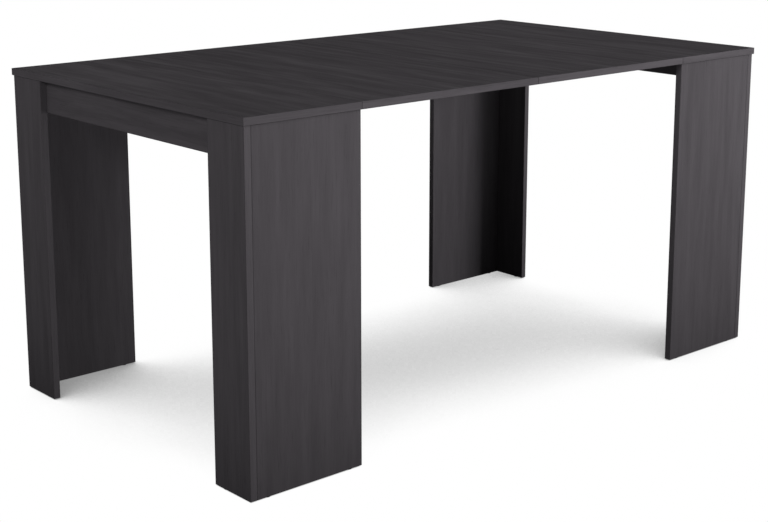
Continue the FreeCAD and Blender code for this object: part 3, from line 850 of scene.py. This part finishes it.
class Turning:
    """A round piece that stands on the origin along Z and grows ring by ring from its foot to its head."""

    def __init__(self, segments: int) -> None:
        """Starts an empty shape.

        Args:
            segments: how many sides a ring has.
        """
        self.segments = segments
        self.shape = bmesh.new()
        self.rim: list[bmesh.types.BMEdge] = []

    def weld(self) -> None:
        """Joins points that fall together and takes what is still open as the rim."""
        bmesh.ops.remove_doubles(self.shape, verts=self.shape.verts, dist=WELD)
        self.rim = [edge for edge in self.shape.edges if edge.is_boundary]

    def start_disc(self, radius: float) -> None:
        """Starts from a flat foot."""
        bmesh.ops.create_circle(self.shape, cap_ends=True, segments=self.segments, radius=radius)
        self.rim = list(self.shape.edges)

    def start_thread(
        self, start: float, end: float, crest: float, root: float, pitch: float, tip: float
    ) -> None:
        """Starts from a screw thread that is closed to a tip at its foot.

        Args:
            start: the height where the thread starts.
            end: the height where the plain shank starts.
            crest: the thread's outer radius.
            root: the thread's inner radius.
            pitch: the rise of one turn.
            tip: the radius of the tip at the foot.
        """
        turns = math.floor((end - start) / pitch) - 1
        corners = ((root, start), (crest, start + pitch / 2), (root, start + pitch))
        verts = [self.shape.verts.new((radius, 0.0, height)) for radius, height in corners]
        edges = [self.shape.edges.new(pair) for pair in zip(verts, verts[1:])]
        twist = Matrix.Rotation(math.tau / self.segments, 4, "Z")
        twist.translation.z = pitch / self.segments
        for _ in range(turns * self.segments):
            edges = self.draw_out(edges, lambda point: twist @ point)[0]
        self.weld()
        middle = (start + end) / 2
        lower = [edge for edge in self.rim if edge.verts[0].co.z < middle]
        upper = [edge for edge in self.rim if edge.verts[0].co.z > middle]
        self.rim = lower
        self.ring(tip, 0.0)
        self.close()
        self.rim = upper
        self.ring(root, end)
        self.weld()

    def draw_out(
        self, edges: Sequence[bmesh.types.BMEdge], move: Callable[[Vector], Vector]
    ) -> tuple[list[bmesh.types.BMEdge], list[bmesh.types.BMFace]]:
        """Draws edges out to a moved copy of themselves.

        Blender's own extrusion isn't used, because the order of its faces changes from run to run.

        Args:
            edges: the edges.
            move: gives the place of a point's copy.

        Returns:
            The copied edges, and the faces between.
        """
        pairs = [tuple(edge.verts) for edge in edges]
        verts = dict.fromkeys(vert for pair in pairs for vert in pair)
        twins = {vert: self.shape.verts.new(move(vert.co)) for vert in verts}
        faces = [self.shape.faces.new((a, twins[a], twins[b], b)) for a, b in pairs]
        return [self.shape.edges.get((twins[a], twins[b])) for a, b in pairs], faces

    def ring(self, radius: float, height: float) -> list[bmesh.types.BMFace]:
        """Draws the rim out to another ring.

        Args:
            radius: the new ring's radius.
            height: the new ring's height.

        Returns:
            The faces between the two rings.
        """
        self.rim, faces = self.draw_out(
            self.rim, lambda point: Vector((*(point.xy.normalized() * radius), height))
        )
        return faces

    def close(self) -> None:
        """Closes the rim with a flat face."""
        bmesh.ops.holes_fill(self.shape, edges=self.rim, sides=0)

    def close_with_cross(self, cross: Cross) -> None:
        """Closes the rim with a flat that has a cross recess.

        Args:
            cross: the recess.
        """
        height = self.rim[0].verts[0].co.z
        half = cross.half_width
        quarter = ((cross.arm, -half), (cross.arm, half), (half, half))
        verts = []
        for turn in range(CROSS_ARMS):
            placing = Matrix.Rotation(turn * math.tau / CROSS_ARMS, 4, "Z")
            verts += [self.shape.verts.new(placing @ Vector((x, y, height))) for x, y in quarter]
        mouth = [self.shape.edges.new(pair) for pair in zip(verts, verts[1:] + verts[:1])]
        bmesh.ops.triangle_fill(self.shape, edges=self.rim + mouth, use_beauty=True)
        self.draw_out(mouth, lambda point: Vector((*(point.xy * cross.taper), height - cross.depth)))
        self.weld()
        self.close()

    def finish(self, placing: Matrix) -> bmesh.types.BMesh:
        """Turns the faces outwards and puts the piece in its place.

        Args:
            placing: carries the piece from the origin to its seat.

        Returns:
            The finished shape.
        """
        bmesh.ops.remove_doubles(self.shape, verts=self.shape.verts, dist=WELD)
        bmesh.ops.recalc_face_normals(self.shape, faces=self.shape.faces)
        bmesh.ops.transform(self.shape, matrix=placing, verts=self.shape.verts)
        return self.shape


@dataclass
class Fixing:
    """Small round pieces that repeat, made at each seat of their nodes."""

    nodes: tuple[str, ...]
    slot: str
    segments: int = 20
    turn_degrees: float = 37.0

    def turn(self, seat: Seat) -> Turning:
        """Shapes one piece for its seat.

        Args:
            seat: the seat that gives the piece's sizes.

        Returns:
            The shaped piece, still on the origin.
        """
        raise NotImplementedError

    def build(self, node: str, material: Material) -> None:
        """Makes the pieces that stand for one node, all in one object.

        Args:
            node: the node's name.
            material: the pieces' finish.
        """
        mesh = bpy.data.meshes.new(f"{node}_turned")
        whole = bmesh.new()
        for i, points in enumerate(solids(node)):
            seat = find_seat(points)
            spun = Matrix.Rotation(math.radians(i * self.turn_degrees), 4, "Z")
            shape = self.turn(seat).finish(seat.placing @ spun)
            shape.to_mesh(mesh)
            shape.free()
            whole.from_mesh(mesh)
        whole.to_mesh(mesh)
        whole.free()
        stand_for(node, mesh, material)


@dataclass
class Screw(Fixing):
    """A board screw with a coarse thread, a point and a domed head with a cross recess."""

    pitch: float = 1.8 * MILLIMETRE
    point_length: float = 3.0 * MILLIMETRE
    tip_radius: float = 0.15 * MILLIMETRE
    plain_length: float = 1.2 * MILLIMETRE
    head_edge: float = 0.6 * MILLIMETRE
    root_share: float = 0.66
    flat_share: float = 0.70
    dome_rings: int = 5
    cross: Cross = Cross(arm=2.1 * MILLIMETRE, half_width=0.45 * MILLIMETRE, depth=1.6 * MILLIMETRE)

    def turn(self, seat: Seat) -> Turning:
        """Shapes one screw."""
        head = min(height for height, radius in seat.outline if radius > seat.neck)
        root = seat.neck * self.root_share
        screw = Turning(self.segments)
        screw.start_thread(
            self.point_length, head - self.plain_length, seat.neck, root, self.pitch, self.tip_radius
        )
        screw.ring(seat.neck, head - self.plain_length)
        screw.ring(seat.neck, head)
        screw.ring(seat.widest, head)
        screw.ring(seat.widest, head + self.head_edge)
        flat = seat.widest * self.flat_share
        rise = seat.top - head - self.head_edge
        for step in range(1, self.dome_rings + 1):
            angle = step / self.dome_rings * math.pi / 2
            radius = flat + (seat.widest - flat) * math.cos(angle)
            screw.ring(radius, head + self.head_edge + rise * math.sin(angle))
        screw.close_with_cross(self.cross)
        return screw


@dataclass
class CamBolt(Fixing):
    """A cam lock's bolt: a threaded end, a collar, a plain waist and a head with a cross recess."""

    pitch: float = 1.6 * MILLIMETRE
    lead: float = 0.8 * MILLIMETRE
    chamfer: float = 0.35 * MILLIMETRE
    root_share: float = 0.70
    cross: Cross = Cross(arm=1.9 * MILLIMETRE, half_width=0.40 * MILLIMETRE, depth=1.4 * MILLIMETRE)

    def turn(self, seat: Seat) -> Turning:
        """Shapes one bolt."""
        collar, shank, head = self.steps(seat)
        waist = min(radius for _, radius in seat.outline)
        root = seat.neck * self.root_share
        bolt = Turning(self.segments)
        bolt.start_thread(self.lead, collar, seat.neck, root, self.pitch, root)
        for radius, height in (
            (seat.widest - self.chamfer, collar), (seat.widest, collar + self.chamfer),
            (seat.widest, shank - self.chamfer), (seat.widest - self.chamfer, shank),
            (waist, shank), (waist, head),
            (seat.widest - self.chamfer, head), (seat.widest, head + self.chamfer),
            (seat.widest, seat.top - self.chamfer), (seat.widest - self.chamfer, seat.top),
        ):
            bolt.ring(radius, height)
        bolt.close_with_cross(self.cross)
        return bolt

    def steps(self, seat: Seat) -> tuple[float, float, float]:
        """Finds the heights where the collar, the waist and the head start.

        Args:
            seat: the bolt's seat.

        Returns:
            The three heights.
        """
        heights = sorted({height for height, _ in seat.outline})
        return heights[1], heights[2], heights[3]


@dataclass
class Dowel(Fixing):
    """A beech dowel with bevelled ends and glue flutes down its side."""

    segments: int = 32
    flute_wall: float = 0.12 * MILLIMETRE
    flute_depth: float = 0.25 * MILLIMETRE

    def turn(self, seat: Seat) -> Turning:
        """Shapes one dowel."""
        bevel_end, bevel_start = seat.outline[1][0], seat.outline[-2][0]
        dowel = Turning(self.segments)
        dowel.start_disc(seat.neck)
        dowel.ring(seat.widest, bevel_end)
        sides = dowel.ring(seat.widest, bevel_start)
        dowel.ring(seat.neck, seat.top)
        dowel.close()
        around = sorted(sides, key=lambda face: math.atan2(*face.calc_center_median().xy))
        bmesh.ops.recalc_face_normals(dowel.shape, faces=dowel.shape.faces)
        bmesh.ops.inset_individual(
            dowel.shape, faces=around[::2], thickness=self.flute_wall, depth=-self.flute_depth
        )
        return dowel


RAILS = tuple(
    f"{side}_{rail}"
    for side in ("front", "back")
    for rail in ("left_rail", "slide_1", "slide_2", "right_rail")
)
SLIDERS_AND_STOPS = (
    "left_rail_sliders", "slide_1_sliders", "right_rail_sliders", "slide_1_stops", "slide_2_stops",
)
PINS = ("left_top_pins", "leaf_1_pins", "leaf_2_pins")
SCREWS = both_ends("rail_screws", "bracket_screws", "apron_screws")
DOWELS = both_ends("corner_dowels", "top_dowels")


@dataclass
class Fittings:
    """The hardware: runners, fixings and glides."""

    timber: TimberFinish = field(default_factory=TimberFinish)
    spacers: tuple[str, ...] = both_ends("rail_spacers")
    screws: Screw = field(default_factory=lambda: Screw(SCREWS, PLATING.slot))
    bolts: CamBolt = field(default_factory=lambda: CamBolt(both_ends("cam_bolts"), PLATING.slot))
    dowels: Dowel = field(default_factory=lambda: Dowel(DOWELS, "beech"))
    softened: tuple[Softened, ...] = (
        Softened(EXTRUSION, RAILS, radius=0.35 * MILLIMETRE, shortest=2.0 * MILLIMETRE),
        Softened(PLATING, both_ends("brackets"), radius=0.25 * MILLIMETRE),
        Softened(CASTING, both_ends("cam_locks"), radius=0.30 * MILLIMETRE),
        Softened(NYLON, SLIDERS_AND_STOPS, radius=0.40 * MILLIMETRE),
        Softened(NYLON, PINS + both_ends("floor_glides"), radius=0.30 * MILLIMETRE),
    )

    def build(self, effects: Effects) -> None:
        """Makes the fittings and gives each its finish.

        Args:
            effects: the shared shader effects.
        """
        made = {finish: finish.material(effects) for finish in (EXTRUSION, PLATING, CASTING, NYLON)}
        for fixing in (self.screws, self.bolts):
            for node in fixing.nodes:
                fixing.build(node, made[PLATING])
        for node in self.dowels.nodes:
            along = Axis.LENGTH if "corner" in node else Axis.HEIGHT
            self.dowels.build(node, self.timber.material(effects, f"beech_{node}", along))
        for fitting in self.softened:
            for node in fitting.nodes:
                fitting.build(node, made[fitting.finish])
        for node in self.spacers:
            dress(node, made[NYLON])


@dataclass
class PhotoCamera:
    """The camera at the photograph's place, a little above the table and off its near corner."""

    image_width: float = 768.0
    focal_pixels: float = 1514.2
    sensor_width: float = 36.0
    eye: tuple[float, float, float] = (-2.4338, -2.7075, 1.2458)
    turn_degrees: float = 41.277
    dip_degrees: float = 11.804
    rise: float = 0.115

    def build(self) -> None:
        """Makes the camera and gives it to the scene."""
        data = bpy.data.cameras.new("photo_camera")
        data.sensor_width = self.sensor_width
        data.lens = self.focal_pixels / self.image_width * self.sensor_width
        data.shift_y = -self.rise
        camera = bpy.data.objects.new("photo_camera", data)
        camera.location = self.eye
        pitch = math.radians(LEVEL_DEGREES - self.dip_degrees)
        camera.rotation_euler = (pitch, 0.0, -math.radians(self.turn_degrees))
        bpy.context.scene.collection.objects.link(camera)
        bpy.context.scene.camera = camera


@dataclass(frozen=True)
class Softbox:
    """A square area lamp that faces one point."""

    name: str
    place: tuple[float, float, float]
    aim: tuple[float, float, float]
    side: float
    watts: float

    def build(self, unlit: bpy.types.Collection) -> None:
        """Makes the lamp.

        Args:
            unlit: what the lamp leaves alone, which is the floor, because its brightness is its own.
        """
        data = bpy.data.lights.new(self.name, "AREA")
        data.shape = "SQUARE"
        data.size = self.side
        data.energy = self.watts
        lamp = bpy.data.objects.new(self.name, data)
        lamp.location = self.place
        toward = Vector(self.aim) - Vector(self.place)
        lamp.rotation_euler = toward.to_track_quat("-Z", "Y").to_euler()
        bpy.context.scene.collection.objects.link(lamp)
        lamp.light_linking.receiver_collection = unlit


@dataclass
class Studio:
    """A white surround, a pale floor that keeps the table's soft shadow, and the lamps.

    The bounce fields give the light that the floor sends up, from near the table to far from it, and the left
    fields the share of it that is left on the left side. The open fields give the openness at which the floor
    looks darkest and at which it looks white, and the shade is how bright it is at its darkest.
    """

    ambient: float = 0.245
    floor_half: float = 14.0
    bounce_near: float = 0.0
    bounce_far: float = 3.3
    bounce_start: float = 0.85
    bounce_end: float = 2.4
    left_start: float = -1.9
    left_end: float = -0.5
    left_share: float = 0.22
    open_low: float = 0.18
    open_high: float = 0.74
    shade: float = 0.232
    shade_turn: float = 75.2
    shade_oval: tuple[float, float, float] = (1.112, 2.666, 1.0)
    sky_reach: float = 4.0
    sky_samples: int = 16
    lamps: tuple[Softbox, ...] = (
        Softbox("key_softbox", place=(5.9, -4.3, 2.1), aim=(0.0, 0.0, 0.45), side=4.0, watts=710.0),
        Softbox("left_fill", place=(-5.1, -2.0, 3.3), aim=(0.0, 0.0, 0.45), side=1.2, watts=136.0),
        Softbox("back_softbox", place=(3.6, 6.0, 0.38), aim=(0.0, 0.0, 0.38), side=0.7, watts=300.0),
    )

    def seen(self, graph: Graph) -> Socket:
        """Says where a ray shows the background itself: to the camera, in gloss and through glass.

        Args:
            graph: the material's or world's nodes.

        Returns:
            1 for such rays and 0 for the rays that only light the table.
        """
        rays = graph.node("ShaderNodeLightPath").outputs
        seen = graph.math("MAXIMUM", rays["Is Camera Ray"], rays["Is Glossy Ray"])
        return graph.math("MAXIMUM", seen, rays["Is Transmission Ray"])

    def build_world(self) -> None:
        """White where it is seen, and a plain even light elsewhere."""
        world = bpy.data.worlds.new("white_surround")
        graph = empty_graph(world)
        strength = graph.math("MULTIPLY", self.seen(graph), 1.0 - self.ambient)
        strength = graph.math("ADD", strength, self.ambient)
        background = graph.node("ShaderNodeBackground", {"Color": WHITE, "Strength": strength})
        graph.node("ShaderNodeOutputWorld", {"Surface": background.outputs[0]})
        bpy.context.scene.world = world

    def floor_shade(self, graph: Graph, place: Socket) -> Socket:
        """Works out how bright the floor looks: darker where the table hides the sky, along a slanting oval.

        Args:
            graph: the floor's nodes.
            place: the point on the floor.

        Returns:
            The brightness, where 1 is white.
        """
        sky = graph.node("ShaderNodeAmbientOcclusion", {"Distance": self.sky_reach}, samples=self.sky_samples)
        turn = (0.0, 0.0, math.radians(self.shade_turn))
        oval = {"Vector": place, "Rotation": turn, "Scale": self.shade_oval}
        spot = graph.node("ShaderNodeMapping", oval, vector_type="TEXTURE").outputs[0]
        outward = graph.node("ShaderNodeVectorMath", {0: spot, 1: spot}, operation="DOT_PRODUCT")
        openness = graph.math("ADD", sky.outputs["AO"], outward.outputs["Value"])
        return graph.ramp(openness, self.open_low, self.open_high, self.shade, 1.0)

    def floor_glow(self, graph: Graph, place: Socket) -> Socket:
        """Works out how much light the floor sends up: none under the table, and less towards the left.

        Args:
            graph: the floor's nodes.
            place: the point on the floor.

        Returns:
            The strength of the light.
        """
        away = graph.node("ShaderNodeVectorMath", {0: place}, operation="LENGTH").outputs["Value"]
        bounce = graph.ramp(away, self.bounce_start, self.bounce_end, self.bounce_near, self.bounce_far)
        along = graph.node("ShaderNodeSeparateXYZ", {0: place}).outputs[0]
        share = graph.ramp(along, self.left_start, self.left_end, self.left_share, 1.0)
        return graph.math("MULTIPLY", bounce, share)

    def floor_material(self) -> Material:
        """Makes the floor's pale skin, which is clear when it is looked at from below.

        Returns:
            The material.
        """
        material, graph = new_material("pale_floor")
        place = graph.node("ShaderNodeTexCoord").outputs["Object"]
        strength = graph.mix(self.seen(graph), self.floor_glow(graph, place), self.floor_shade(graph, place))
        pale = graph.node("ShaderNodeEmission", {"Color": WHITE, "Strength": strength}).outputs[0]
        below = graph.node("ShaderNodeNewGeometry").outputs["Backfacing"]
        clear = graph.node("ShaderNodeBsdfTransparent").outputs[0]
        surface = graph.node("ShaderNodeMixShader", {0: below, 1: pale, 2: clear}).outputs[0]
        graph.node("ShaderNodeOutputMaterial", {"Surface": surface})
        return material

    def build_floor(self) -> bpy.types.Collection:
        """Makes a wide pale floor with the table's soft shade.

        Returns:
            A collection of the floor alone, whose contents a lamp can leave out.
        """
        shape = bmesh.new()
        bmesh.ops.create_grid(shape, x_segments=1, y_segments=1, size=self.floor_half)
        mesh = bpy.data.meshes.new("floor")
        shape.to_mesh(mesh)
        shape.free()
        floor = bpy.data.objects.new("floor", mesh)
        stage = bpy.data.collections.new("stage")
        stage.objects.link(floor)
        bpy.context.scene.collection.children.link(stage)
        stage.collection_objects[0].light_linking.link_state = "EXCLUDE"
        mesh.materials.append(self.floor_material())
        return stage

    def build(self) -> None:
        """Makes the surround, the floor and the lamps, with colours shown as they are."""
        self.build_world()
        stage = self.build_floor()
        for lamp in self.lamps:
            lamp.build(stage)
        bpy.context.scene.view_settings.view_transform = "Standard"


def main() -> None:
    """Dresses the table and sets the studio."""
    logging.basicConfig(level=logging.INFO, format="%(message)s")
    effects = Effects()
    Boards().dress(effects)
    Fittings().build(effects)
    PhotoCamera().build()
    Studio().build()


if __name__ == "__main__":
    main()
